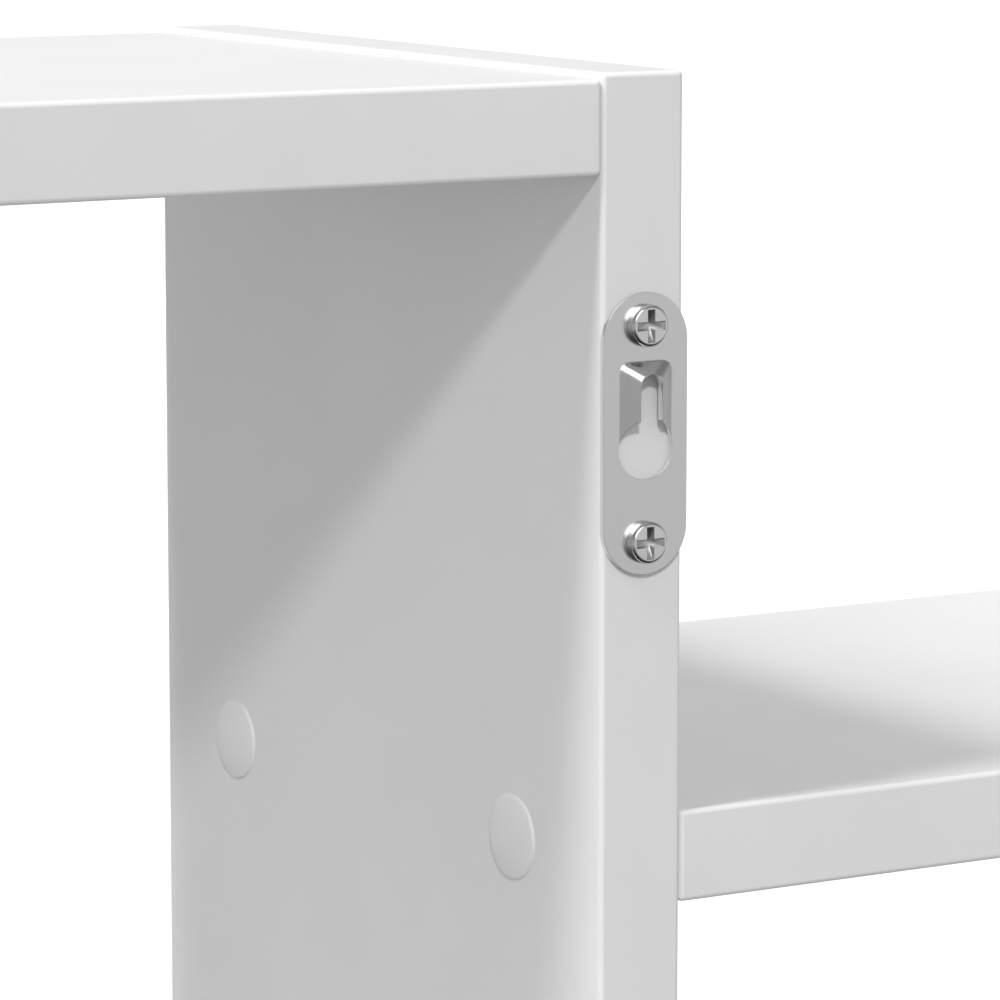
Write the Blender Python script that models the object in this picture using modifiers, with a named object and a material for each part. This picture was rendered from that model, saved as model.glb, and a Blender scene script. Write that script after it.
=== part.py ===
"""Floating wall shelf: an open cube between two wing shelves, hung on a pair of keyhole plates.

Metres, +Z up. The wall is the plane Y = 0 and the shelf stands out from it along -Y, so left and right
are as seen from the room. The origin lies midway between the two points where wall screws carry it.
"""
import math

import bmesh
import bpy

# Boards
BOARD_THICKNESS = 0.015
SHELF_DEPTH = 0.150
SIDE_HEIGHT = 0.250
CUBE_WIDTH = 0.250
WING_LENGTH = 0.275
WING_DROP = 0.118          # from the top of a side down to the top of a wing
END_STEP = 0.001           # how far the sides stand proud of the top and bottom boards
EDGE_RADIUS = 0.0009

# Clearances
SEAT_GAP = 0.0003          # between faces that rest on each other
HOLE_GAP = 0.0003          # between a fastener and the wall of its hole

# One-piece connector screws, two in each joint
CONNECTOR_INSET = 0.027    # from the front and rear edges to the screw axes
CONNECTOR_LENGTH = 0.050
CONNECTOR_DIAMETER = 0.007
CONNECTOR_HEAD = 0.010
CONNECTOR_HEAD_DEPTH = 0.0032
CONNECTOR_HEAD_RIM = 0.0008
CONNECTOR_POINT = 0.004
CONNECTOR_POINT_DIAMETER = 0.0045
SOCKET_WIDTH = 0.004       # across the flats of the hexagon
SOCKET_DEPTH = 0.003

# Cover caps
CAP_DIAMETER = 0.014
CAP_RIM = 0.0004
CAP_CROWN = 0.0005
CAP_PEG_LENGTH = 0.0025

# Wooden dowels, one in each joint
DOWEL_DIAMETER = 0.008
DOWEL_LENGTH = 0.030
DOWEL_COVER = 0.005        # board left between a dowel and the far face of the side
DOWEL_CHAMFER = 0.001

# Keyhole plates, measured from the point where the wall screw carries the plate
HANG_DROP = 0.0492         # from the top of a side down to that point
PLATE_WIDTH = 0.0155
PLATE_THICKNESS = 0.0009
SLOT_WIDTH = 0.0040
SLOT_REACH = 0.00985       # from the entry hole's centre up to that point
ENTRY_DIAMETER = 0.0099
HUMP_WIDTH = 0.0096
HUMP_HEAD = 0.0039         # from that point up to the foot of the pressed hump
HUMP_SLOPE = 0.0024
HUMP_RISE = 0.0020
HUMP_HIP_RADIUS = 0.0009
UPPER_LAND = 0.0057        # from the hump's foot up to the upper screw
LOWER_LAND = 0.0099        # from the entry hole's rim down to the lower screw
PLATE_END = 0.0052         # from a screw to the end of the plate

# Plate screws
PLATE_SCREW_LENGTH = 0.016
PLATE_SCREW_DIAMETER = 0.0035
PLATE_SCREW_POINT = 0.004
PAN_FOOT_DIAMETER = 0.0068
PAN_RIM_DIAMETER = 0.0068
PAN_FACE_DIAMETER = 0.0058
PAN_HEIGHT = 0.0014
PAN_ROUND = 0.0005
CROSS_SPAN = 0.0054
CROSS_ARM = 0.0014
CROSS_DEPTH = 0.0011
CROSS_FOOT_SHARE = 0.55    # size of the recess at its floor, as a share of its size at the face

# Fineness of round shapes, and the overlap that lets a cutter pass through a face
FINE_STEPS = 22
HIDDEN_STEPS = 18
CROWN_STEPS = 3
CUT_MARGIN = 0.001
MERGE_DISTANCE = 0.00001

# Places that follow from the sizes above
REAR_Y = -(SEAT_GAP + PLATE_THICKNESS + max(HUMP_RISE, SEAT_GAP + PAN_HEIGHT))
FRONT_Y = REAR_Y - SHELF_DEPTH
MIDDLE_Y = (REAR_Y + FRONT_Y) / 2
SIDE_TOP = HANG_DROP
SIDE_BOTTOM = SIDE_TOP - SIDE_HEIGHT
TOP_BOARD_Z = SIDE_TOP - END_STEP - BOARD_THICKNESS / 2
BOTTOM_BOARD_Z = SIDE_BOTTOM + END_STEP + BOARD_THICKNESS / 2
WING_Z = SIDE_TOP - WING_DROP - BOARD_THICKNESS / 2
CUBE_OUTER = CUBE_WIDTH / 2
CUBE_INNER = CUBE_OUTER - BOARD_THICKNESS
SIDE_MIDDLE_X = CUBE_OUTER - BOARD_THICKNESS / 2
CONNECTOR_ROWS = {"front": FRONT_Y + CONNECTOR_INSET, "rear": REAR_Y - CONNECTOR_INSET}
ENTRY_Z = -SLOT_REACH
UPPER_SCREW_Z = HUMP_HEAD + UPPER_LAND
LOWER_SCREW_Z = ENTRY_Z - ENTRY_DIAMETER / 2 - LOWER_LAND

# Directions: a turned piece's own +Z points out of its head
OUT_TO_WALL = (-math.pi / 2, 0.0, 0.0)
PLATE_TURN = (-math.pi / 2, math.pi, 0.0)


def head_facing(sign):
    """The rotation that points a turned piece's head along +X or -X."""
    return (0.0, sign * math.pi / 2, 0.0)


def clear_scene():
    for obj in list(bpy.data.objects):
        bpy.data.objects.remove(obj, do_unlink=True)


def new_collection(name):
    collection = bpy.data.collections.new(name)
    bpy.context.scene.collection.children.link(collection)
    return collection


def new_material(name, colour, roughness, metallic):
    material = bpy.data.materials.new(name)
    material.use_nodes = True
    shader = material.node_tree.nodes["Principled BSDF"]
    shader.inputs["Base Color"].default_value = (*colour, 1.0)
    shader.inputs["Roughness"].default_value = roughness
    shader.inputs["Metallic"].default_value = metallic
    return material


clear_scene()
shelf = new_collection("floating_wall_shelf")
cutters = new_collection("cutters")

melamine = new_material("white_melamine", (0.80, 0.80, 0.80), 0.42, 0.0)
cap_plastic = new_material("white_cap_plastic", (0.80, 0.80, 0.80), 0.38, 0.0)
plate_steel = new_material("zinc_plate_steel", (0.75, 0.75, 0.75), 0.24, 1.0)
screw_steel = new_material("bright_screw_steel", (0.75, 0.75, 0.75), 0.16, 1.0)
connector_steel = new_material("connector_steel", (0.60, 0.60, 0.58), 0.30, 1.0)
beech = new_material("beech_dowel", (0.60, 0.42, 0.25), 0.70, 0.0)


def add_object(name, data, material=None):
    """A part when it has a material, and otherwise a cutter that never shows."""
    obj = bpy.data.objects.new(name, data)
    if material:
        data.materials.append(material)
        shelf.objects.link(obj)
    else:
        obj.hide_render = True
        obj.display_type = "WIRE"
        cutters.objects.link(obj)
    return obj


def mesh_from(bm, name):
    mesh = bpy.data.meshes.new(name)
    bm.to_mesh(mesh)
    bm.free()
    return mesh


def place(obj, location, rotation):
    obj.location = location
    obj.rotation_euler = rotation


def apply_boolean(obj, other, operation="DIFFERENCE"):
    boolean = obj.modifiers.new(other.name, "BOOLEAN")
    boolean.operation = operation
    boolean.solver = "EXACT"
    boolean.object = other


def turned(name, profile, steps, material=None):
    """A solid of revolution about Z, from (radius, height) pairs that run from its top to its foot."""
    bm = bmesh.new()
    points = [bm.verts.new((radius, 0.0, height)) for radius, height in profile]
    for upper, lower in zip(points, points[1:]):
        bm.edges.new((upper, lower))
    obj = add_object(name, mesh_from(bm, name), material)
    lathe = obj.modifiers.new("Lathe", "SCREW")
    lathe.axis = "Z"
    lathe.steps = steps
    lathe.render_steps = steps
    lathe.use_merge_vertices = True
    lathe.merge_threshold = MERGE_DISTANCE
    return obj


def tapered_block(name, foot, crest, low, high, hip_radius=0.0):
    """A cutter or tool that narrows from the foot rectangle at low to the crest rectangle at high."""
    bm = bmesh.new()
    bmesh.ops.create_cube(bm, size=1.0)
    for vert in bm.verts:
        width, length = crest if vert.co.z > 0 else foot
        height = high if vert.co.z > 0 else low
        vert.co = (vert.co.x * width, vert.co.y * length, height)
    if hip_radius:
        hips = [edge for edge in bm.edges if abs(edge.verts[0].co.z - edge.verts[1].co.z) > MERGE_DISTANCE]
        bmesh.ops.bevel(bm, geom=hips, offset=hip_radius, segments=3, profile=0.5, affect="EDGES")
    return add_object(name, mesh_from(bm, name))


def arc(centre_y, radius, start, end, steps):
    """Points on an arc round (0, centre_y), with both of its ends."""
    angles = [start + (end - start) * step / steps for step in range(steps + 1)]
    return [(radius * math.cos(angle), centre_y + radius * math.sin(angle)) for angle in angles]


def flat_solid(name, outline, low, high, material=None):
    """A plate of the given outline between two heights."""
    curve = bpy.data.curves.new(name + "_outline", "CURVE")
    curve.dimensions = "2D"
    curve.fill_mode = "BOTH"
    curve.extrude = (high - low) / 2
    spline = curve.splines.new("POLY")
    spline.points.add(len(outline) - 1)
    spline.use_cyclic_u = True
    for point, (x, y) in zip(spline.points, outline):
        point.co = (x, y, 0.0, 1.0)
    drawing = bpy.data.objects.new(name + "_outline", curve)
    cutters.objects.link(drawing)
    depsgraph = bpy.context.evaluated_depsgraph_get()
    drawn = bpy.data.meshes.new_from_object(drawing.evaluated_get(depsgraph))
    bm = bmesh.new()
    bm.from_mesh(drawn)
    bmesh.ops.remove_doubles(bm, verts=bm.verts, dist=MERGE_DISTANCE)
    bmesh.ops.translate(bm, verts=bm.verts, vec=(0.0, 0.0, (low + high) / 2))
    bmesh.ops.recalc_face_normals(bm, faces=bm.faces)
    bpy.data.objects.remove(drawing, do_unlink=True)
    bpy.data.meshes.remove(drawn)
    return add_object(name, mesh_from(bm, name), material)


def board(name, low, high):
    """A faced board between two corners, with its edges eased all round."""
    bm = bmesh.new()
    bmesh.ops.create_cube(bm, size=1.0)
    size = [far - near for near, far in zip(low, high)]
    bmesh.ops.scale(bm, verts=bm.verts, vec=size)
    obj = add_object(name, mesh_from(bm, name), melamine)
    obj.location = [(near + far) / 2 for near, far in zip(low, high)]
    easing = obj.modifiers.new("Eased edges", "BEVEL")
    easing.width = EDGE_RADIUS
    easing.segments = 3
    easing.limit_method = "ANGLE"
    return obj


def side_board(name, sign):
    inner, outer = sorted((sign * CUBE_INNER, sign * CUBE_OUTER))
    return board(name, (inner, FRONT_Y, SIDE_BOTTOM), (outer, REAR_Y, SIDE_TOP))


def cube_board(name, height):
    half_length = CUBE_INNER - SEAT_GAP
    half_thickness = BOARD_THICKNESS / 2
    return board(name, (-half_length, FRONT_Y, height - half_thickness),
                 (half_length, REAR_Y, height + half_thickness))


def wing_board(name, sign):
    root = CUBE_OUTER + SEAT_GAP
    near, far = sorted((sign * root, sign * (root + WING_LENGTH)))
    half_thickness = BOARD_THICKNESS / 2
    return board(name, (near, FRONT_Y, WING_Z - half_thickness), (far, REAR_Y, WING_Z + half_thickness))


def connector_screw(name):
    """Countersunk connector screw; its head lies just under the board's face, at height 0."""
    top = -SEAT_GAP
    radius = CONNECTOR_DIAMETER / 2
    tip = top - CONNECTOR_LENGTH
    screw = turned(name, [
        (0.0, top),
        (CONNECTOR_HEAD / 2, top),
        (CONNECTOR_HEAD / 2, top - CONNECTOR_HEAD_RIM),
        (radius, top - CONNECTOR_HEAD_DEPTH),
        (radius, tip + CONNECTOR_POINT),
        (CONNECTOR_POINT_DIAMETER / 2, tip),
        (0.0, tip),
    ], HIDDEN_STEPS, connector_steel)
    corner = SOCKET_WIDTH / math.sqrt(3)
    socket = turned(name + "_socket", [
        (0.0, CUT_MARGIN),
        (corner, CUT_MARGIN),
        (corner, top - SOCKET_DEPTH),
        (0.0, top - SOCKET_DEPTH),
    ], 6)
    apply_boolean(screw, socket)
    return screw, socket


def connector_hole(name):
    """The bore and countersink that a connector screw turns in."""
    top = -SEAT_GAP
    radius = CONNECTOR_DIAMETER / 2 + HOLE_GAP
    sink = CONNECTOR_HEAD / 2 + HOLE_GAP
    floor = top - CONNECTOR_LENGTH - HOLE_GAP
    return turned(name, [
        (0.0, CUT_MARGIN),
        (sink, CUT_MARGIN),
        (sink, top - CONNECTOR_HEAD_RIM),
        (radius, top - CONNECTOR_HEAD_DEPTH),
        (radius, floor),
        (0.0, floor),
    ], HIDDEN_STEPS)


def cover_cap(name):
    """Low crowned disc that lies on the board's face, with a peg that plugs into the screw's socket."""
    radius = CAP_DIAMETER / 2
    rim = SEAT_GAP + CAP_RIM
    crown = []
    for step in range(CROWN_STEPS + 1):
        share = step / CROWN_STEPS
        crown.append((radius * share, rim + CAP_CROWN * (1.0 - share ** 3)))
    peg = SOCKET_WIDTH / 2 - HOLE_GAP
    return turned(name, crown + [
        (radius, SEAT_GAP),
        (peg, SEAT_GAP),
        (peg, -CAP_PEG_LENGTH),
        (0.0, -CAP_PEG_LENGTH),
    ], FINE_STEPS, cap_plastic)


def dowel(name):
    radius = DOWEL_DIAMETER / 2
    half = DOWEL_LENGTH / 2
    return turned(name, [
        (0.0, half),
        (radius - DOWEL_CHAMFER, half),
        (radius, half - DOWEL_CHAMFER),
        (radius, DOWEL_CHAMFER - half),
        (radius - DOWEL_CHAMFER, -half),
        (0.0, -half),
    ], HIDDEN_STEPS, beech)


def dowel_hole(name):
    radius = DOWEL_DIAMETER / 2 + HOLE_GAP
    half = DOWEL_LENGTH / 2 + HOLE_GAP
    return turned(name, [(0.0, half), (radius, half), (radius, -half), (0.0, -half)], HIDDEN_STEPS)


def join_boards(label, side, end_board, entry_x, heading, height):
    """Fasten a board's end to a side: two connector screws under caps, with a dowel between them.

    The screws enter the side at entry_x and run along heading, which is +1 or -1 in X.
    """
    rotation = head_facing(-heading)
    for row, depth in CONNECTOR_ROWS.items():
        location = (entry_x, depth, height)
        screw, socket = connector_screw(f"{label}_screw_{row}")
        hole = connector_hole(f"{label}_hole_{row}")
        cap = cover_cap(f"{label}_cap_{row}")
        for obj in (screw, socket, hole, cap):
            place(obj, location, rotation)
        apply_boolean(side, hole)
        apply_boolean(end_board, hole)
    dowel_x = entry_x + heading * (DOWEL_COVER + DOWEL_LENGTH / 2)
    pin = dowel(f"{label}_dowel")
    pin_hole = dowel_hole(f"{label}_dowel_hole")
    for obj in (pin, pin_hole):
        place(obj, (dowel_x, MIDDLE_Y, height), rotation)
    apply_boolean(side, pin_hole)
    apply_boolean(end_board, pin_hole)


def hump_tool(name, lift):
    """The pressed hump: a hipped block whose foot line lies at the height lift."""
    spread = HUMP_SLOPE / HUMP_RISE
    foot = lift - CUT_MARGIN / 2
    grow = 2 * spread * (lift - foot)
    length = HUMP_HEAD - ENTRY_Z
    tool = tapered_block(name,
                         (HUMP_WIDTH + grow, length + grow),
                         (HUMP_WIDTH - 2 * HUMP_SLOPE, length - 2 * HUMP_SLOPE),
                         foot, lift + HUMP_RISE, HUMP_HIP_RADIUS)
    middle = (HUMP_HEAD + ENTRY_Z) / 2
    for vert in tool.data.vertices:
        vert.co.y += middle
    return tool


def keyhole_outline():
    """Round entry hole with a narrower slot that runs up from it and ends in a half circle."""
    entry = ENTRY_DIAMETER / 2
    half_slot = SLOT_WIDTH / 2
    mouth = math.asin(half_slot / entry)
    entry_arc = arc(ENTRY_Z, entry, math.pi / 2 + mouth, 2.5 * math.pi - mouth, 2 * FINE_STEPS)
    return entry_arc + arc(0.0, half_slot, 0.0, math.pi, FINE_STEPS // 2)


def plate_outline():
    end = PLATE_WIDTH / 2
    top = UPPER_SCREW_Z + PLATE_END - end
    bottom = LOWER_SCREW_Z - PLATE_END + end
    return arc(top, end, 0.0, math.pi, FINE_STEPS) + arc(bottom, end, math.pi, 2 * math.pi, FINE_STEPS)


def screw_bore(name, height, low, high):
    """A round bore for a plate screw's shank, centred at the given height on the plate."""
    outline = arc(height, PLATE_SCREW_DIAMETER / 2 + HOLE_GAP, 0.0, 2 * math.pi, HIDDEN_STEPS)[:-1]
    return flat_solid(name, outline, low, high)


def keyhole_plate(name, side, x):
    """Pressed steel hanger on a side's rear edge; its hump leaves room for the wall screw's head."""
    plate = flat_solid(name, plate_outline(), 0.0, PLATE_THICKNESS, plate_steel)
    over = PLATE_THICKNESS + HUMP_RISE + CUT_MARGIN
    hump = hump_tool(name + "_hump", PLATE_THICKNESS)
    hollow = hump_tool(name + "_hollow", 0.0)
    keyhole = flat_solid(name + "_keyhole", keyhole_outline(), -CUT_MARGIN, over)
    shank = PLATE_SCREW_LENGTH - PLATE_THICKNESS - SEAT_GAP
    bores = [screw_bore(f"{name}_{row}_bore", height, -shank - HOLE_GAP, over)
             for row, height in (("upper", UPPER_SCREW_Z), ("lower", LOWER_SCREW_Z))]
    for obj in (plate, hump, hollow, keyhole, *bores):
        place(obj, (x, REAR_Y + SEAT_GAP, 0.0), PLATE_TURN)
    apply_boolean(plate, hump, "UNION")
    for cutter in (hollow, keyhole, *bores):
        apply_boolean(plate, cutter)
    for bore in bores:
        apply_boolean(side, bore)


def plate_screw(name, x, height):
    """Pan-head wood screw with a cross recess; its head's underside lies at height 0."""
    radius = PLATE_SCREW_DIAMETER / 2
    screw = turned(name, [
        (0.0, PAN_HEIGHT),
        (PAN_FACE_DIAMETER / 2, PAN_HEIGHT),
        (PAN_RIM_DIAMETER / 2, PAN_HEIGHT - PAN_ROUND),
        (PAN_FOOT_DIAMETER / 2, 0.0),
        (radius, 0.0),
        (radius, PLATE_SCREW_POINT - PLATE_SCREW_LENGTH),
        (0.0, -PLATE_SCREW_LENGTH),
    ], FINE_STEPS, screw_steel)
    seat = (x, REAR_Y + 2 * SEAT_GAP + PLATE_THICKNESS, height)
    place(screw, seat, OUT_TO_WALL)
    flare = 1.0 + (1.0 - CROSS_FOOT_SHARE) * CUT_MARGIN / CROSS_DEPTH
    for arm, size in (("across", (CROSS_SPAN, CROSS_ARM)), ("upright", (CROSS_ARM, CROSS_SPAN))):
        floor = [CROSS_FOOT_SHARE * extent for extent in size]
        mouth = [flare * extent for extent in size]
        recess = tapered_block(f"{name}_recess_{arm}", floor, mouth,
                               PAN_HEIGHT - CROSS_DEPTH, PAN_HEIGHT + CUT_MARGIN)
        place(recess, seat, OUT_TO_WALL)
        apply_boolean(screw, recess)


def build_shelf():
    top_board = cube_board("top_board", TOP_BOARD_Z)
    bottom_board = cube_board("bottom_board", BOTTOM_BOARD_Z)
    for hand, sign in (("left", -1), ("right", 1)):
        side = side_board(f"{hand}_side", sign)
        wing = wing_board(f"{hand}_wing", sign)
        join_boards(f"{hand}_top", side, top_board, sign * CUBE_OUTER, -sign, TOP_BOARD_Z)
        join_boards(f"{hand}_bottom", side, bottom_board, sign * CUBE_OUTER, -sign, BOTTOM_BOARD_Z)
        join_boards(f"{hand}_wing", side, wing, sign * CUBE_INNER, sign, WING_Z)
        x = sign * SIDE_MIDDLE_X
        keyhole_plate(f"{hand}_keyhole_plate", side, x)
        plate_screw(f"{hand}_plate_screw_upper", x, UPPER_SCREW_Z)
        plate_screw(f"{hand}_plate_screw_lower", x, LOWER_SCREW_Z)


build_shelf()
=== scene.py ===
"""Looks of the floating wall shelf: faced boards, cover caps, pressed keyhole plates, screws and dowels.

Metres, +Z up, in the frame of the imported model: the wall is the plane Y = 0, and the shelf stands out
from it along -Y. The camera looks at the back of the shelf, from the wall side.
"""
import math

import bmesh
import bpy
from mathutils import Euler, Matrix, Vector


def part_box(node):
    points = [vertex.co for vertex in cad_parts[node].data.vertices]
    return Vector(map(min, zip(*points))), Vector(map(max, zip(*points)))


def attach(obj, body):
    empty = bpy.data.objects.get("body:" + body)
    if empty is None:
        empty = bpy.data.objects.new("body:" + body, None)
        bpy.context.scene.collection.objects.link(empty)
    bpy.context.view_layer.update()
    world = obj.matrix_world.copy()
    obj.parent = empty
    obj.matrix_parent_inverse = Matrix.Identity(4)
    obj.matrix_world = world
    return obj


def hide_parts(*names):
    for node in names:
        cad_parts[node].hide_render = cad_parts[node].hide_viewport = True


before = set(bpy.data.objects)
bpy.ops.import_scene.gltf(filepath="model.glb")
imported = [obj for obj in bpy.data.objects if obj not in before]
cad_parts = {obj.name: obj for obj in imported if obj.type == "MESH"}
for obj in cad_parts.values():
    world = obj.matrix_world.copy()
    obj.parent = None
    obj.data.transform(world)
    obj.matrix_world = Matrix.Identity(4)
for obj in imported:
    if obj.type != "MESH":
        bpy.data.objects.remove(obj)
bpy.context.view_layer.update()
scene = bpy.context.scene

HANDS = {"left": -1, "right": 1}
JOINTS = ("top", "bottom", "wing")
ROWS = ("front", "rear")
PLATE_SCREWS = ("upper", "lower")
AXES = range(3)
QUARTER = math.pi / 2
FULL_TURN = 2 * math.pi
MERGE = 0.000001           # within which points are one
SAME_HEIGHT = 0.00001      # within which a rim lies at one height
SHARP_ANGLE = math.radians(38)   # from which an edge is shaded as a crease

# Finishes: the part of the noise's range that the colour and the roughness follow
TINT_STRETCH = (0.35, 0.65)
POLISH_STRETCH = (0.3, 0.7)

# Boards
EDGE_RADIUS = 0.0009
JOINT_GAP = 0.0003         # by which a board's end is drawn out until it meets the side
PLANE_ANGLE = math.radians(0.5)  # under which neighbouring facets are one flat face
BROAD_FACE, BANDED_EDGE, BARE_CORE = range(3)  # places of a board's finishes

# Cover caps, from the face of the board outwards
CAP_RADIUS = 0.0070
CAP_BEDDING = 0.00005      # how far the underside lies in the board's face
CAP_RIM = 0.0004
CAP_CROWN = 0.0010
CAP_CROWN_RINGS = 8
CAP_EASE = 0.0003
CAP_EASE_STEPS = 4
CAP_STEPS = 96
PEG_RADIUS = 0.0017
PEG_LENGTH = 0.0025

# Keyhole plates, from the point where the wall screw carries the plate; y runs up the plate
PLATE_LOW, PLATE_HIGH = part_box("left_keyhole_plate")
PLATE_WIDTH = PLATE_HIGH.x - PLATE_LOW.x
PLATE_TOP = PLATE_HIGH.z
PLATE_BOTTOM = PLATE_LOW.z
PLATE_THICKNESS = 0.0009
PLATE_BEDDING = 0.00025    # how far a plate settles onto the board, and a screw's head onto the plate
PLATE_EASE = 0.00006
PLATE_EASE_STEPS = 3
PLATE_STEPS = 128
LEVEL_FACE = 0.99          # least share of the normal that points straight up on the flat of the sheet
SCREW_BORE = 0.0041
BORE_STEPS = 48
ENTRY_RADIUS = 0.00495
ENTRY_HEIGHT = -0.00985
SLOT_WIDTH = 0.0040
KEYHOLE_STEPS = 136
MOUTH_STEPS = 8            # steps of the entry circle, each way from its top, that become the slot's end

# The hump pressed into the plate round the slot
HUMP_HALF = 0.0048
HUMP_HEAD = 0.0039
HUMP_TAIL = -0.0099
HUMP_RISE = 0.0020
HUMP_HOLLOW = 0.00145      # how far the underside rises
SIDE_SLOPE = 0.0028
HEAD_SLOPE = 0.0019
TAIL_SLOPE = 0.0030
HIP_ROUND = 0.75           # share of the slopes over which the hips turn
SLOPE_EASE = 0.04          # share of a slope that is rounded at its foot and at its crest
PRESS_GRID = 0.0002

# Plate screws, from the underside of the head outwards
PAN_RADIUS = 0.0034
PAN_HEIGHT = 0.0014
PAN_TAPER = 0.00006        # how far the head's wall leans in
PAN_ROUND = 0.0006
PAN_ROUND_STEPS = 8
PAN_STEPS = 96
CROSS_ARMS = 4
CROSS_SPAN = 0.0050
CROSS_ARM = 0.0012
CROSS_LIP = 0.0001
CROSS_TAPER = 0.0001       # how far each wall of the recess leans in
CROSS_TIP_DEPTH = 0.00025  # depth at the arms' ends
CROSS_CORE_DEPTH = 0.0012  # depth where the arms meet
CROSS_POINT_DEPTH = 0.0014
RECESS_PAINTED_SHADE_FINISH = 1         # place of the recess's finish, darkened as painted shade, among a plate screw's
PLATE_SCREW_LENGTH = 0.016
PLATE_SCREW_NECK = 0.00096
PLATE_SCREW_CORE = 0.0012
PLATE_SCREW_CREST = 0.00175
PLATE_SCREW_PITCH = 0.0016
PLATE_SCREW_POINT = 0.004

# Connector screws, from the face of the board inwards
CONNECTOR_SUNK = 0.0003
CONNECTOR_LENGTH = 0.050
CONNECTOR_HEAD_RADIUS = 0.0050
CONNECTOR_HEAD_RIM = 0.0008
CONNECTOR_HEAD_DEPTH = 0.0032
CONNECTOR_CORE = 0.0024
CONNECTOR_CREST = 0.0035
CONNECTOR_PITCH = 0.0030
CONNECTOR_POINT = 0.004
CONNECTOR_STEPS = 48
SOCKET_SIDES = 6
SOCKET_WIDTH = 0.004
SOCKET_DEPTH = 0.003

# Threads of both kinds of screws
THREAD_STEPS = 24
THREAD_FLANK = 0.4         # half the width of a tooth's foot, as a share of the tooth's height
SPARE_TURNS = 2            # wound beyond the ends, and cut off
BLUNT_TIP = 0.25           # radius of the blunt tip, as a share of the core's

# Dowels
DOWEL_RADIUS = 0.004
DOWEL_FLUTES = 20
DOWEL_FLUTE_DEPTH = 0.00025
DOWEL_CHAMFER = 0.001
FLUTE_STEPS = 4
DOWEL_STEPS = DOWEL_FLUTES * FLUTE_STEPS

# Floor, and the even level of the sky that lights the boards
FLOOR_HEIGHT = -0.95
FLOOR_SIZE = 60.0
FLOOR_SEEN = 0.95          # grey of the floor to the camera
FLOOR_BOUNCE = 0.35        # and to bounced light
SKY_LEVEL = 0.474

# What metal reflects: (share of the height from straight down to straight up, level), a pale wall to one
# side of the camera that the level falls away from, the backdrop, and a softbox above the camera
STUDIO_LEVELS = ((0.0, 0.02), (0.20, 0.045), (0.33, 0.26), (0.40, 0.59), (0.50, 0.59), (0.60, 0.46),
                 (0.70, 0.30), (0.85, 0.28), (0.93, 0.46), (1.0, 0.54))
PALE_WALL = (-0.55, 0.835, 0.0)
PALE_WALL_REACH = (0.70, 0.96)
BESIDE_PALE_WALL = 0.66
BACKDROP = (0.40, -0.917, 0.0)
BACKDROP_REACH = (0.45, 0.85)
BACKDROP_LEVEL = 0.66
SOFTBOX = (0.172, 0.862, 0.477)
SOFTBOX_REACH = (0.915, 0.965)
SOFTBOX_LEVEL = 2.4

# (name, direction to the light, level of a white surface that faces it, apparent diameter in degrees)
LAMPS = (
    ("high_key", (0.357, 0.728, 0.585), 0.426, 6.0),
    ("overhead_steep", (0.558, 0.037, 0.829), 0.455, 10.0),
    ("overhead_middle", (0.668, 0.033, 0.743), 0.163, 10.0),
    ("overhead_flat", (0.765, 0.029, 0.643), 0.120, 10.0),
    ("low_side", (0.80, 0.50, 0.10), 0.030, 20.0),
    ("open_front", (0.42, -0.90, 0.06), 0.083, 20.0),
    ("room_fill", (0.0, -1.0, 0.0), 0.30, 12.0),
)

# Camera, fitted to the boards' edges in the photograph
FRAME_PIXELS = 1000
FOCAL_PIXELS = 5146.9
SENSOR_WIDTH = 36.0
CAMERA_PLACE = (0.31066, 0.67368, 0.10045)
CAMERA_TURN = math.radians(30.719)
CAMERA_DIP = math.radians(8.426)
CLIP_NEAR = 0.01
CLIP_FAR = 200.0


# Finishes

def new_finish(name, roughness, metallic=0.0):
    """A node material, its tree and its shader."""
    material = bpy.data.materials.new(name)
    material.use_nodes = True
    shader = material.node_tree.nodes["Principled BSDF"]
    shader.inputs["Roughness"].default_value = roughness
    shader.inputs["Metallic"].default_value = metallic
    return material, material.node_tree, shader


def speckle(tree, waves, detail=2.0, stretch=(1.0, 1.0, 1.0)):
    """Soft noise on the piece's own coordinates, of so many waves per metre."""
    place = tree.nodes.new("ShaderNodeTexCoord")
    mapping = tree.nodes.new("ShaderNodeMapping")
    mapping.inputs["Scale"].default_value = stretch
    noise = tree.nodes.new("ShaderNodeTexNoise")
    noise.inputs["Scale"].default_value = waves
    noise.inputs["Detail"].default_value = detail
    tree.links.new(place.outputs["Object"], mapping.inputs["Vector"])
    tree.links.new(mapping.outputs["Vector"], noise.inputs["Vector"])
    return noise.outputs["Fac"]


def tint(tree, shader, pattern, dark, light):
    """Colour the surface from dark to light along the pattern."""
    ramp = tree.nodes.new("ShaderNodeValToRGB")
    for element, position, colour in zip(ramp.color_ramp.elements, TINT_STRETCH, (dark, light)):
        element.position = position
        element.color = (*colour, 1.0)
    tree.links.new(pattern, ramp.inputs["Fac"])
    tree.links.new(ramp.outputs["Color"], shader.inputs["Base Color"])


def polish(tree, shader, pattern, smooth, rough):
    """Spread the roughness from smooth to rough along the pattern."""
    spread = tree.nodes.new("ShaderNodeMapRange")
    spread.inputs["From Min"].default_value, spread.inputs["From Max"].default_value = POLISH_STRETCH
    spread.inputs["To Min"].default_value = smooth
    spread.inputs["To Max"].default_value = rough
    tree.links.new(pattern, spread.inputs["Value"])
    tree.links.new(spread.outputs["Result"], shader.inputs["Roughness"])


def relief(tree, shader, pattern, strength, depth):
    """Raise the surface a little along the pattern."""
    bump = tree.nodes.new("ShaderNodeBump")
    bump.inputs["Strength"].default_value = strength
    bump.inputs["Distance"].default_value = depth
    tree.links.new(pattern, bump.inputs["Height"])
    tree.links.new(bump.outputs["Normal"], shader.inputs["Normal"])


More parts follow.
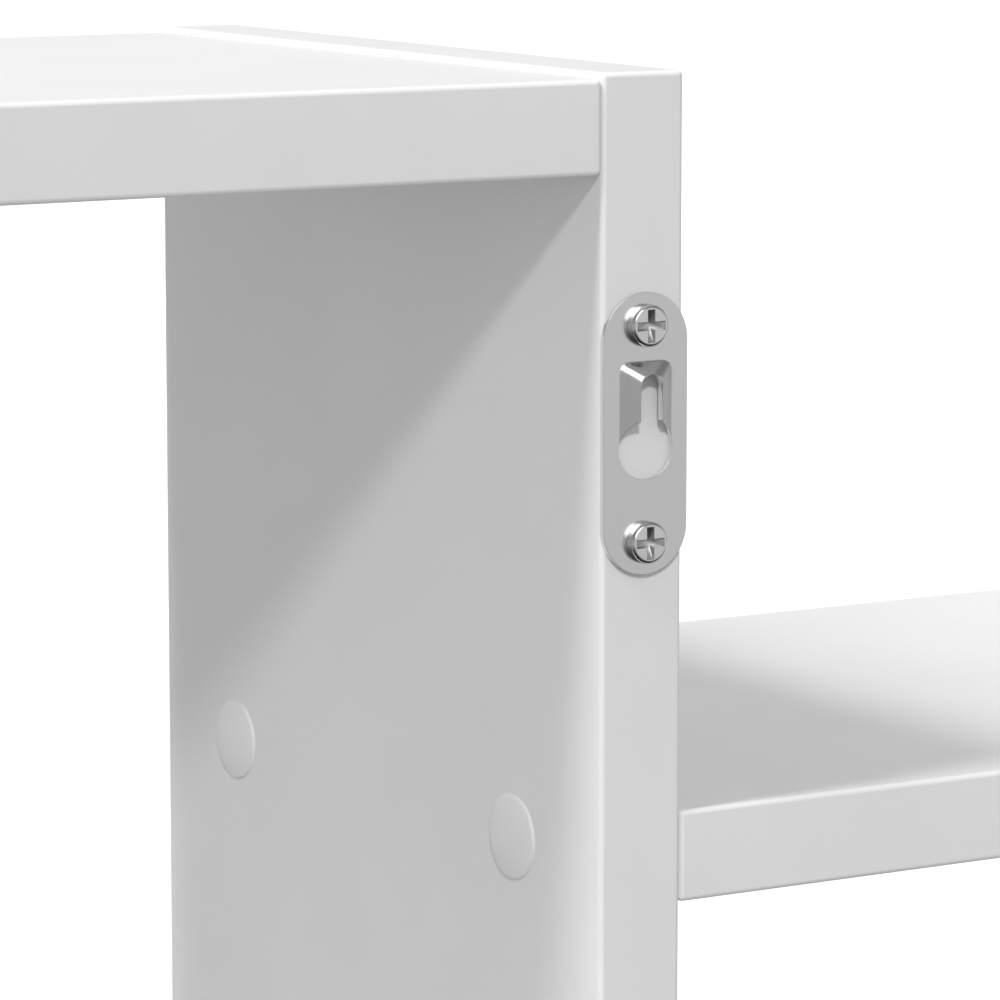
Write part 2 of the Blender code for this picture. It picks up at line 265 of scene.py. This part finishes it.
def melamine_finish():
    """White melamine paper: satin, with the faint orange peel of the press plate."""
    material, tree, shader = new_finish("white_melamine_face", roughness=0.45)
    tint(tree, shader, speckle(tree, waves=30.0), dark=(0.792, 0.792, 0.790), light=(0.808, 0.808, 0.807))
    polish(tree, shader, speckle(tree, waves=420.0), smooth=0.42, rough=0.49)
    relief(tree, shader, speckle(tree, waves=1500.0), strength=0.10, depth=0.00002)
    return material


def edge_band_finish():
    """White edge band: the same colour, a little glossier."""
    material, tree, shader = new_finish("white_edge_band", roughness=0.40)
    tint(tree, shader, speckle(tree, waves=40.0), dark=(0.793, 0.793, 0.791), light=(0.807, 0.807, 0.806))
    polish(tree, shader, speckle(tree, waves=600.0), smooth=0.38, rough=0.44)
    relief(tree, shader, speckle(tree, waves=1900.0), strength=0.08, depth=0.00002)
    return material


def chipboard_finish():
    """Bare chipboard, where a bore shows the core."""
    material, tree, shader = new_finish("chipboard_core", roughness=0.85)
    chips = speckle(tree, waves=700.0, detail=6.0)
    tint(tree, shader, chips, dark=(0.40, 0.28, 0.17), light=(0.68, 0.54, 0.37))
    relief(tree, shader, speckle(tree, waves=1600.0, detail=4.0), strength=0.6, depth=0.0002)
    return material


def cap_finish():
    """White moulded plastic with a fine spark-eroded skin."""
    material, tree, shader = new_finish("white_cap_plastic", roughness=0.40)
    tint(tree, shader, speckle(tree, waves=90.0), dark=(0.792, 0.792, 0.791), light=(0.806, 0.806, 0.805))
    polish(tree, shader, speckle(tree, waves=900.0), smooth=0.36, rough=0.44)
    relief(tree, shader, speckle(tree, waves=3800.0), strength=0.10, depth=0.00001)
    return material


def plate_finish():
    """Zinc-plated sheet, with the faint lines it kept from the rolling mill."""
    material, tree, shader = new_finish("zinc_plated_sheet", roughness=0.23, metallic=1.0)
    rolled = speckle(tree, waves=900.0, detail=3.0, stretch=(1.0, 1.0, 0.06))
    tint(tree, shader, rolled, dark=(0.835, 0.835, 0.835), light=(0.865, 0.865, 0.865))
    polish(tree, shader, rolled, smooth=0.20, rough=0.26)
    relief(tree, shader, rolled, strength=0.05, depth=0.00001)
    return material


def screw_finish():
    """Bright zinc-plated steel, slightly mottled by the tumbling drum."""
    material, tree, shader = new_finish("bright_zinc_screw", roughness=0.16, metallic=1.0)
    tumbled = speckle(tree, waves=1400.0, detail=3.0)
    tint(tree, shader, tumbled, dark=(0.83, 0.83, 0.83), light=(0.87, 0.87, 0.87))
    polish(tree, shader, tumbled, smooth=0.13, rough=0.20)
    relief(tree, shader, speckle(tree, waves=2600.0), strength=0.05, depth=0.00001)
    return material


def recess_painted_shade_finish():
    """The same zinc in the punched recess, rougher, with painted shade: its colour is a little darker to
    stand for the shade inside the recess.
    """
    material, tree, shader = new_finish("dull_zinc_recess_painted_shade", roughness=0.33, metallic=1.0)
    punched = speckle(tree, waves=1800.0, detail=3.0)
    # painted shade: darker than the head's zinc, standing for the shade that falls inside the recess
    tint(tree, shader, punched, dark=(0.70, 0.70, 0.70), light=(0.78, 0.78, 0.78))
    polish(tree, shader, punched, smooth=0.28, rough=0.38)
    relief(tree, shader, speckle(tree, waves=3200.0), strength=0.10, depth=0.00001)
    return material


def connector_finish():
    """Plain zinc-plated steel of the connector screws."""
    material, tree, shader = new_finish("plain_zinc_connector", roughness=0.32, metallic=1.0)
    mottled = speckle(tree, waves=1100.0, detail=3.0)
    tint(tree, shader, mottled, dark=(0.57, 0.57, 0.55), light=(0.64, 0.64, 0.62))
    polish(tree, shader, mottled, smooth=0.26, rough=0.38)
    relief(tree, shader, mottled, strength=0.10, depth=0.00001)
    return material


def beech_finish():
    """Beech, with its grain along the dowel."""
    material, tree, shader = new_finish("turned_beech", roughness=0.62)
    grain = speckle(tree, waves=900.0, detail=4.0, stretch=(0.05, 1.0, 1.0))
    tint(tree, shader, grain, dark=(0.52, 0.35, 0.20), light=(0.66, 0.48, 0.30))
    polish(tree, shader, grain, smooth=0.55, rough=0.70)
    relief(tree, shader, grain, strength=0.3, depth=0.0001)
    return material


MELAMINE = melamine_finish()
EDGE_BAND = edge_band_finish()
CHIPBOARD = chipboard_finish()
CAP_PLASTIC = cap_finish()
ZINC_SHEET = plate_finish()
BRIGHT_ZINC = screw_finish()
DULL_ZINC_PAINTED_SHADE = recess_painted_shade_finish()
PLAIN_ZINC = connector_finish()
BEECH = beech_finish()


# Pieces

def mesh_from(bm, name):
    """Make a mesh of a bmesh, and let the bmesh go."""
    mesh = bpy.data.meshes.new(name)
    bm.to_mesh(mesh)
    bm.free()
    return mesh


def shown_piece(bm, node, finishes):
    """Make the bmesh a smooth-shaded piece that stands for a CAD node and hangs with the shelf."""
    for edge in bm.edges:
        edge.smooth = edge.smooth and edge.calc_face_angle(0.0) < SHARP_ANGLE
    for face in bm.faces:
        face.smooth = True
    mesh = mesh_from(bm, f"{node}_finished")
    for finish in finishes:
        mesh.materials.append(finish)
    piece = bpy.data.objects.new(f"{node}_finished", mesh)
    scene.collection.objects.link(piece)
    shading = piece.modifiers.new("even_shading", "WEIGHTED_NORMAL")
    shading.keep_sharp = True
    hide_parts(node)
    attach(piece, "root")


def middle_of(node):
    """The middle of a CAD node's box."""
    low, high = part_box(node)
    return (low + high) / 2


def close_mesh(bm):
    """Weld seams and poles, and point the faces outwards."""
    bmesh.ops.remove_doubles(bm, verts=bm.verts, dist=MERGE)
    bmesh.ops.recalc_face_normals(bm, faces=bm.faces)


def copy_placed(bm, place):
    """A copy of a mesh, moved to its place."""
    copy = bm.copy()
    bmesh.ops.transform(copy, matrix=place, verts=copy.verts)
    return copy


def facing_sideways(sign, x, y, z):
    """The place of a turned piece whose own +Z points along +X or -X."""
    return Matrix.Translation((x, y, z)) @ Matrix.Rotation(sign * QUARTER, 4, "Y")


def facing_wall(x, y, z):
    """The place of a piece whose own +Z points at the wall and whose own +Y points up."""
    return Matrix.Translation((x, y, z)) @ Euler((-QUARTER, math.pi, 0.0)).to_matrix().to_4x4()


def circle(bm, radius, height, steps, middle=(0.0, 0.0)):
    """The points of a circle round the axis, or round another middle."""
    place = Matrix.Translation((*middle, height))
    return bmesh.ops.create_circle(bm, cap_ends=False, segments=steps, radius=radius, matrix=place)["verts"]


def ring_edges(verts):
    """The edges that join the points of a ring, in the points' order."""
    return list(dict.fromkeys(edge for vert in verts for edge in vert.link_edges))


def ring(bm, radius, height, steps, middle=(0.0, 0.0)):
    """The edges of a circle."""
    return ring_edges(circle(bm, radius, height, steps, middle))


def polyline(bm, points, closed=False):
    """A line of edges through a few points."""
    verts = [bm.verts.new(point) for point in points]
    ends = verts[1:] + verts[:1] if closed else verts[1:]
    return verts, [bm.edges.new(pair) for pair in zip(verts, ends)]


def turned(bm, profile, steps):
    """Spin a profile of (radius, height) points a full turn round the axis."""
    verts, edges = polyline(bm, [(radius, 0.0, height) for radius, height in profile])
    bmesh.ops.spin(bm, geom=verts + edges, cent=(0, 0, 0), axis=(0, 0, 1), angle=FULL_TURN,
                   steps=steps, use_merge=True, use_duplicate=False)
    bmesh.ops.remove_doubles(bm, verts=bm.verts, dist=MERGE)


def open_edges(bm, height):
    """The open rim of a mesh at one height."""
    return [edge for edge in bm.edges if edge.is_boundary
            and all(abs(vert.co.z - height) < SAME_HEIGHT for vert in edge.verts)]


def bridge(bm, rings):
    """Join each ring to the next."""
    for lower, upper in zip(rings, rings[1:]):
        bmesh.ops.bridge_loops(bm, edges=lower + upper)


def fill_flat(bm, rims, facing):
    """Fill the level area between rims; it faces up with 1 and down with -1."""
    bmesh.ops.triangle_fill(bm, use_beauty=True, use_dissolve=False, edges=rims, normal=(0, 0, facing))


def cut_across(bm, point, normal, **cleared):
    """Cut the whole mesh with a plane, and clear what lies beyond or before it if asked."""
    bmesh.ops.bisect_plane(bm, geom=bm.verts[:] + bm.edges[:] + bm.faces[:], dist=MERGE,
                           plane_co=point, plane_no=normal, **cleared)


def quarter_arc(radius, steps):
    """(inset, rise) along a rounded corner, from the face's edge to the wall's."""
    turns = [QUARTER * step / steps for step in range(steps + 1)]
    return [(radius * (1 - math.sin(turn)), radius * (1 - math.cos(turn))) for turn in turns]


def board(node, butt_low=False, butt_high=False):
    """A faced board: melamine on the broad faces, band on the edges, bare core in the bores.

    An end that butts against a side is drawn out to meet it.
    """
    bm = bmesh.new()
    bm.from_mesh(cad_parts[node].data)
    bmesh.ops.remove_doubles(bm, verts=bm.verts, dist=MERGE)
    bmesh.ops.dissolve_limit(bm, angle_limit=PLANE_ANGLE, verts=bm.verts, edges=bm.edges)
    low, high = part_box(node)
    size = high - low
    thin = min(AXES, key=lambda axis: size[axis])
    for face in bm.faces:
        middle = face.calc_center_median()
        facing = max(AXES, key=lambda axis: abs(face.normal[axis]))
        depth = min(min(middle[axis] - low[axis], high[axis] - middle[axis]) for axis in AXES)
        if depth > EDGE_RADIUS:
            face.material_index = BARE_CORE
        elif facing == thin:
            face.material_index = BROAD_FACE
        else:
            face.material_index = BANDED_EDGE
    for vert in bm.verts:
        if butt_low and vert.co.x < low.x + EDGE_RADIUS + MERGE:
            vert.co.x -= JOINT_GAP
        if butt_high and vert.co.x > high.x - EDGE_RADIUS - MERGE:
            vert.co.x += JOINT_GAP
    shown_piece(bm, node, (MELAMINE, EDGE_BAND, CHIPBOARD))


def cap_mesh():
    """A crowned disc with an eased rim, on the peg that holds it in the screw's socket."""
    shares = [step / CAP_CROWN_RINGS for step in range(CAP_CROWN_RINGS + 1)]
    profile = [(CAP_RADIUS * share, CAP_RIM + CAP_CROWN * (1 - share ** 2)) for share in shares]
    profile += [(CAP_RADIUS, -CAP_BEDDING), (PEG_RADIUS, -CAP_BEDDING), (PEG_RADIUS, -PEG_LENGTH),
                (0.0, -PEG_LENGTH)]
    bm = bmesh.new()
    turned(bm, profile, CAP_STEPS)
    rim = [edge for edge in bm.edges if all(abs(vert.co.z - CAP_RIM) < MERGE for vert in edge.verts)]
    bmesh.ops.bevel(bm, geom=rim, offset=CAP_EASE, affect="EDGES", segments=CAP_EASE_STEPS, profile=0.5,
                    material=-1)
    close_mesh(bm)
    return bm


def plate_ring(bm, inset, height):
    """The plate's outline: a circle whose halves are drawn apart."""
    radius = PLATE_WIDTH / 2
    verts = circle(bm, radius - inset, height, PLATE_STEPS)
    for vert in verts:
        vert.co.y += PLATE_TOP - radius if vert.co.y > -MERGE else PLATE_BOTTOM + radius
    return ring_edges(verts)


def keyhole_ring(bm, inset, height):
    """The keyhole's outline: the entry circle, its top drawn up into the slot's round end."""
    verts = circle(bm, ENTRY_RADIUS + inset, height, KEYHOLE_STEPS, (0.0, ENTRY_HEIGHT))
    half = SLOT_WIDTH / 2 + inset
    for vert in verts:
        step = round(math.atan2(vert.co.x, vert.co.y - ENTRY_HEIGHT) / FULL_TURN * KEYHOLE_STEPS)
        if abs(step) <= MOUTH_STEPS:
            turn = QUARTER * step / MOUTH_STEPS
            vert.co.x, vert.co.y = half * math.sin(turn), half * math.cos(turn)
    return ring_edges(verts)


def bore_ring(bm, inset, height, middle):
    """The outline of a screw's bore in the plate."""
    return ring(bm, SCREW_BORE / 2 + inset, height, BORE_STEPS, (0.0, middle))


def eased_ramp(share):
    """A slope from 0 to 1, with a small round at its foot and at its crest."""
    if share < SLOPE_EASE:
        return max(share + SLOPE_EASE, 0.0) ** 2 / (4 * SLOPE_EASE)
    if share > 1 - SLOPE_EASE:
        return 1 - max(1 + SLOPE_EASE - share, 0.0) ** 2 / (4 * SLOPE_EASE)
    return share


def pressed_share(x, y):
    """The share of the press's lift: slopes at the sides, the head and the tail, with rounded hips."""
    side = (HUMP_HALF - abs(x)) / SIDE_SLOPE
    head = (HUMP_HEAD - y) / HEAD_SLOPE
    tail = (y - HUMP_TAIL) / TAIL_SLOPE
    hip = max(1 - abs(side - head) / HIP_ROUND, 0.0) ** 2 * HIP_ROUND / 4
    return eased_ramp(min(side, head, tail) - hip)


def cut_between(bm, start, end, normal):
    """Cut the mesh across, once for each step of the press grid."""
    for step in range(int((end - start) / PRESS_GRID) + 1):
        cut_across(bm, normal * (start + step * PRESS_GRID), normal)


def plate_mesh():
    """The keyhole plate: punched flat with eased rims, then pressed up into a hump round the slot."""
    bm = bmesh.new()
    corner = quarter_arc(PLATE_EASE, PLATE_EASE_STEPS)
    wall = corner + [(inset, PLATE_THICKNESS - rise) for inset, rise in reversed(corner)]
    bores = [middle_of(f"left_plate_screw_{which}").z for which in PLATE_SCREWS]
    outlines = [(plate_ring, ()), (keyhole_ring, ())] + [(bore_ring, (middle,)) for middle in bores]
    lower, upper = [], []
    for outline, place in outlines:
        rings = [outline(bm, inset, height, *place) for inset, height in wall]
        bridge(bm, rings)
        lower += rings[0]
        upper += rings[-1]
    fill_flat(bm, lower, -1)
    fill_flat(bm, upper, 1)
    cut_between(bm, -HUMP_HALF - PRESS_GRID, HUMP_HALF + PRESS_GRID, Vector((1, 0, 0)))
    cut_between(bm, HUMP_TAIL - PRESS_GRID, HUMP_HEAD + PRESS_GRID, Vector((0, 1, 0)))
    bm.normal_update()
    for edge in bm.edges:
        level = [abs(face.normal.z) > LEVEL_FACE for face in edge.link_faces]
        edge.smooth = all(level) or not any(level)
    for vert in bm.verts:
        lift = HUMP_RISE if vert.co.z > PLATE_THICKNESS / 2 else HUMP_HOLLOW
        vert.co.z += lift * pressed_share(vert.co.x, vert.co.y)
    close_mesh(bm)
    return bm


def threaded_shank(bm, neck, top, tip, core, crest, pitch, point):
    """A wood thread from the neck's rim down to the tip, wound by a climbing spin."""
    turns = math.ceil((top - tip) / pitch) + SPARE_TURNS
    flank = (crest - core) * THREAD_FLANK
    tooth = [(core, 0.0), (core, flank * 2 - pitch), (crest, flank - pitch), (core, -pitch)]
    thread = bmesh.new()
    verts, edges = polyline(thread, [(radius, 0.0, top + pitch + height) for radius, height in tooth])
    bmesh.ops.spin(thread, geom=verts + edges, cent=(0, 0, 0), axis=(0, 0, 1),
                   dvec=(0, 0, -pitch / THREAD_STEPS), angle=FULL_TURN * turns,
                   steps=THREAD_STEPS * turns, use_merge=False, use_duplicate=False)
    bmesh.ops.remove_doubles(thread, verts=thread.verts, dist=MERGE)
    start, end = top - pitch / 2, tip + point
    cut_across(thread, (0, 0, start), (0, 0, 1), clear_outer=True)
    cut_across(thread, (0, 0, end), (0, 0, 1), clear_inner=True)
    wound = mesh_from(thread, "wound_thread")
    bm.from_mesh(wound)
    bpy.data.meshes.remove(wound)
    bmesh.ops.bridge_loops(bm, edges=neck + open_edges(bm, start))
    blunt = ring(bm, core * BLUNT_TIP, tip, THREAD_STEPS)
    bmesh.ops.bridge_loops(bm, edges=open_edges(bm, end) + blunt)
    bmesh.ops.edgeloop_fill(bm, edges=blunt)


def cross_ring(bm, span, arm, end_height, core_height):
    """The outline of a cross recess: the corners where its arms meet can lie deeper than the arms' ends."""
    reach, half = span / 2, arm / 2
    quarter = [(reach, -half, end_height), (reach, half, end_height), (half, half, core_height)]
    turns = [Matrix.Rotation(QUARTER * step, 3, "Z") for step in range(CROSS_ARMS)]
    return polyline(bm, [turn @ Vector(point) for turn in turns for point in quarter], closed=True)


def cross_recess(bm):
    """A cross recess: broken lip, leaning walls, floors that slope to the middle, and a pointed core."""
    turned_faces = set(bm.faces)
    lip, wall = 2 * CROSS_LIP, 2 * CROSS_TAPER
    rim = PAN_HEIGHT - CROSS_LIP
    mouth = cross_ring(bm, CROSS_SPAN + lip, CROSS_ARM + lip, PAN_HEIGHT, PAN_HEIGHT)[1]
    edge = cross_ring(bm, CROSS_SPAN, CROSS_ARM, rim, rim)[1]
    floor_verts, floor = cross_ring(bm, CROSS_SPAN - wall, CROSS_ARM - wall, PAN_HEIGHT - CROSS_TIP_DEPTH,
                                    PAN_HEIGHT - CROSS_CORE_DEPTH)
    bridge(bm, [mouth, edge, floor])
    bmesh.ops.contextual_create(bm, geom=floor)
    corners = floor_verts[2::3]
    core = bmesh.ops.connect_verts(bm, verts=corners)["edges"]
    middle = [face for face in core[0].link_faces if set(core) == set(face.edges)]
    for vert in bmesh.ops.poke(bm, faces=middle)["verts"]:
        vert.co.z = PAN_HEIGHT - CROSS_POINT_DEPTH
    # the recess's faces take the finish whose darker colour is painted shade
    for face in set(bm.faces) - turned_faces:
        face.material_index = RECESS_PAINTED_SHADE_FINISH
    return mouth


def plate_screw_mesh():
    """A pan-head wood screw: flat face, rounded rim, cross recess with tapered walls, wood thread."""
    bm = bmesh.new()
    shoulder = PAN_RADIUS - PAN_TAPER
    foot, neck = -PLATE_BEDDING, -PLATE_SCREW_NECK
    arc = quarter_arc(PAN_ROUND, PAN_ROUND_STEPS)
    profile = [(shoulder - inset, PAN_HEIGHT - rise) for inset, rise in arc]
    profile += [(PAN_RADIUS, foot), (PLATE_SCREW_CORE, foot), (PLATE_SCREW_CORE, neck)]
    turned(bm, profile, PAN_STEPS)
    rim = open_edges(bm, PAN_HEIGHT)
    mouth = cross_recess(bm)
    fill_flat(bm, rim + mouth, 1)
    threaded_shank(bm, open_edges(bm, neck), neck, -PLATE_SCREW_LENGTH, PLATE_SCREW_CORE, PLATE_SCREW_CREST,
                   PLATE_SCREW_PITCH, PLATE_SCREW_POINT)
    close_mesh(bm)
    return bm


def connector_mesh():
    """A one-piece connector screw: countersunk head with a hexagon socket, coarse thread, blunt point."""
    bm = bmesh.new()
    top = -CONNECTOR_SUNK
    neck = top - CONNECTOR_HEAD_DEPTH - CONNECTOR_PITCH
    turned(bm, [(CONNECTOR_HEAD_RADIUS, top), (CONNECTOR_HEAD_RADIUS, top - CONNECTOR_HEAD_RIM),
                (CONNECTOR_CREST, top - CONNECTOR_HEAD_DEPTH), (CONNECTOR_CREST, neck)], CONNECTOR_STEPS)
    across_corners = SOCKET_WIDTH / math.cos(math.pi / SOCKET_SIDES)
    mouth = ring(bm, across_corners / 2, top, SOCKET_SIDES)
    floor = ring(bm, across_corners / 2, top - SOCKET_DEPTH, SOCKET_SIDES)
    fill_flat(bm, open_edges(bm, top) + mouth, 1)
    bridge(bm, [mouth, floor])
    bmesh.ops.edgeloop_fill(bm, edges=floor)
    threaded_shank(bm, open_edges(bm, neck), neck, top - CONNECTOR_LENGTH, CONNECTOR_CORE, CONNECTOR_CREST,
                   CONNECTOR_PITCH, CONNECTOR_POINT)
    close_mesh(bm)
    return bm


def dowel_mesh(length):
    """A fluted dowel along X, chamfered at both ends."""
    bm = bmesh.new()
    half = length / 2
    small = DOWEL_RADIUS - DOWEL_CHAMFER
    rings = [ring(bm, radius, height, DOWEL_STEPS)
             for radius, height in ((small, -half), (DOWEL_RADIUS, DOWEL_CHAMFER - half),
                                    (DOWEL_RADIUS, half - DOWEL_CHAMFER), (small, half))]
    for vert in bm.verts:
        step = round(math.atan2(vert.co.y, vert.co.x) / FULL_TURN * DOWEL_STEPS)
        if step % FLUTE_STEPS == 0 and abs(vert.co.z) < half - MERGE:
            vert.co.xy *= 1 - DOWEL_FLUTE_DEPTH / DOWEL_RADIUS
    bridge(bm, rings)
    for end in (rings[0], rings[-1]):
        bmesh.ops.edgeloop_fill(bm, edges=end)
    bmesh.ops.rotate(bm, cent=(0, 0, 0), matrix=Matrix.Rotation(QUARTER, 3, "Y"), verts=bm.verts)
    close_mesh(bm)
    return bm


def build_boards():
    """The two sides, the two wings, and the cube's top and bottom."""
    for hand, sign in HANDS.items():
        board(f"{hand}_side")
        board(f"{hand}_wing", butt_low=sign > 0, butt_high=sign < 0)
    for node in ("top_board", "bottom_board"):
        board(node, butt_low=True, butt_high=True)


def build_joints():
    """Caps, connector screws and dowels of the six joints."""
    cap, connector = cap_mesh(), connector_mesh()
    for hand, sign in HANDS.items():
        inner, outer = sorted((corner.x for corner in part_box(f"{hand}_side")), key=abs)
        for joint in JOINTS:
            name = f"{hand}_{joint}"
            outward, face = (-sign, inner) if joint == "wing" else (sign, outer)
            for row in ROWS:
                axis = middle_of(f"{name}_cap_{row}")
                place = facing_sideways(outward, face, axis.y, axis.z)
                shown_piece(copy_placed(cap, place), f"{name}_cap_{row}", (CAP_PLASTIC,))
                shown_piece(copy_placed(connector, place), f"{name}_screw_{row}", (PLAIN_ZINC,))
            node = f"{name}_dowel"
            low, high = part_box(node)
            dowel = dowel_mesh(high.x - low.x)
            place = Matrix.Translation(middle_of(node))
            shown_piece(copy_placed(dowel, place), node, (BEECH,))
            dowel.free()
    cap.free()
    connector.free()


def build_hangers():
    """A keyhole plate with its two screws on each side's rear edge."""
    plate, screw = plate_mesh(), plate_screw_mesh()
    for hand in HANDS:
        node = f"{hand}_keyhole_plate"
        place = facing_wall(middle_of(node).x, PLATE_LOW.y - PLATE_BEDDING, 0.0)
        shown_piece(copy_placed(plate, place), node, (ZINC_SHEET,))
        for which in PLATE_SCREWS:
            node = f"{hand}_plate_screw_{which}"
            axis, face = middle_of(node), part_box(node)[1].y
            place = facing_wall(axis.x, face - PAN_HEIGHT - PLATE_BEDDING, axis.z)
            shown_piece(copy_placed(screw, place), node, (BRIGHT_ZINC, DULL_ZINC_PAINTED_SHADE))
    plate.free()
    screw.free()


# Studio

def aim(obj, direction):
    """Turn a lamp or a camera to look along a direction."""
    obj.rotation_euler = Vector(direction).to_track_quat("-Z", "Y").to_euler()


def build_lamps():
    """Wide suns, which the metal doesn't mirror."""
    for name, direction, level, diameter in LAMPS:
        lamp = bpy.data.lights.new(name, "SUN")
        lamp.energy = math.pi * level
        lamp.angle = math.radians(diameter)
        obj = bpy.data.objects.new(name, lamp)
        obj.visible_glossy = False
        aim(obj, -Vector(direction))
        scene.collection.objects.link(obj)


def mixed(tree, factor, from_value, to_value):
    """A socket that goes from one level or socket to another along a factor."""
    mix = tree.nodes.new("ShaderNodeMix")
    tree.links.new(factor, mix.inputs["Factor"])
    for value, name in ((from_value, "A"), (to_value, "B")):
        if isinstance(value, float):
            mix.inputs[name].default_value = value
        else:
            tree.links.new(value, mix.inputs[name])
    return mix.outputs["Result"]


def towards(tree, place, direction, reach):
    """How nearly a direction of the world points one way: 0 to 1 across a soft edge."""
    along = tree.nodes.new("ShaderNodeVectorMath")
    along.operation = "DOT_PRODUCT"
    along.inputs[1].default_value = direction
    tree.links.new(place, along.inputs[0])
    share = tree.nodes.new("ShaderNodeMapRange")
    share.interpolation_type = "SMOOTHSTEP"
    share.inputs["From Min"].default_value, share.inputs["From Max"].default_value = reach
    tree.links.new(along.outputs["Value"], share.inputs["Value"])
    return share.outputs["Result"]


def studio_reflection(tree):
    """The studio as metal shows it: dark floor, bright horizon, dim above, pale wall, backdrop, softbox."""
    place = tree.nodes.new("ShaderNodeTexCoord").outputs["Generated"]
    split = tree.nodes.new("ShaderNodeSeparateXYZ")
    height = tree.nodes.new("ShaderNodeMapRange")
    height.inputs["From Min"].default_value = -1.0
    ramp = tree.nodes.new("ShaderNodeValToRGB")
    elements = ramp.color_ramp.elements
    while len(elements) < len(STUDIO_LEVELS):
        elements.new(0.5)
    for element, (position, level) in zip(elements, STUDIO_LEVELS):
        element.position = position
        element.color = (level, level, level, 1.0)
    tree.links.new(place, split.inputs["Vector"])
    tree.links.new(split.outputs["Z"], height.inputs["Value"])
    tree.links.new(height.outputs["Result"], ramp.inputs["Fac"])
    product = tree.nodes.new("ShaderNodeMath")
    product.operation = "MULTIPLY"
    pale_wall = towards(tree, place, PALE_WALL, PALE_WALL_REACH)
    tree.links.new(ramp.outputs["Color"], product.inputs[0])
    tree.links.new(mixed(tree, pale_wall, BESIDE_PALE_WALL, 1.0), product.inputs[1])
    backdrop = towards(tree, place, BACKDROP, BACKDROP_REACH)
    room = mixed(tree, backdrop, product.outputs["Value"], BACKDROP_LEVEL)
    softbox = towards(tree, place, SOFTBOX, SOFTBOX_REACH)
    return mixed(tree, softbox, room, SOFTBOX_LEVEL)


def build_world():
    """White behind the object, the studio in reflections, and an even soft sky for the rest."""
    world = bpy.data.worlds.new("studio")
    world.use_nodes = True
    tree = world.node_tree
    path = tree.nodes.new("ShaderNodeLightPath").outputs
    level = mixed(tree, path["Is Glossy Ray"], SKY_LEVEL, studio_reflection(tree))
    for seen_through in ("Is Transmission Ray", "Is Camera Ray"):
        level = mixed(tree, path[seen_through], level, 1.0)
    tree.links.new(level, tree.nodes["Background"].inputs["Color"])
    scene.world = world


def build_floor():
    """A wide pale floor well below the shelf, white to the camera and grey to bounced light."""
    bm = bmesh.new()
    bmesh.ops.create_grid(bm, x_segments=1, y_segments=1, size=FLOOR_SIZE / 2,
                          matrix=Matrix.Translation((0.0, 0.0, FLOOR_HEIGHT)))
    mesh = mesh_from(bm, "studio_floor")
    material, tree, shader = new_finish("pale_floor", roughness=1.0)
    shader.inputs["Specular IOR Level"].default_value = 0.0
    path = tree.nodes.new("ShaderNodeLightPath")
    shade = tree.nodes.new("ShaderNodeMapRange")
    shade.inputs["To Min"].default_value = FLOOR_BOUNCE
    shade.inputs["To Max"].default_value = FLOOR_SEEN
    tree.links.new(path.outputs["Is Camera Ray"], shade.inputs["Value"])
    tree.links.new(shade.outputs["Result"], shader.inputs["Base Color"])
    mesh.materials.append(material)
    floor = bpy.data.objects.new("studio_floor", mesh)
    floor.visible_glossy = False
    scene.collection.objects.link(floor)


def build_camera():
    """The photograph's camera, behind the shelf and a little above it."""
    data = bpy.data.cameras.new("photograph_camera")
    data.sensor_fit = "HORIZONTAL"
    data.sensor_width = SENSOR_WIDTH
    data.lens = SENSOR_WIDTH * FOCAL_PIXELS / FRAME_PIXELS
    data.clip_start = CLIP_NEAR
    data.clip_end = CLIP_FAR
    camera = bpy.data.objects.new("photograph_camera", data)
    camera.location = CAMERA_PLACE
    level = math.cos(CAMERA_DIP)
    aim(camera, (-math.sin(CAMERA_TURN) * level, -math.cos(CAMERA_TURN) * level, -math.sin(CAMERA_DIP)))
    scene.collection.objects.link(camera)
    scene.camera = camera


build_boards()
build_joints()
build_hangers()
build_floor()
build_world()
build_lamps()
build_camera()
scene.view_settings.view_transform = "Standard"
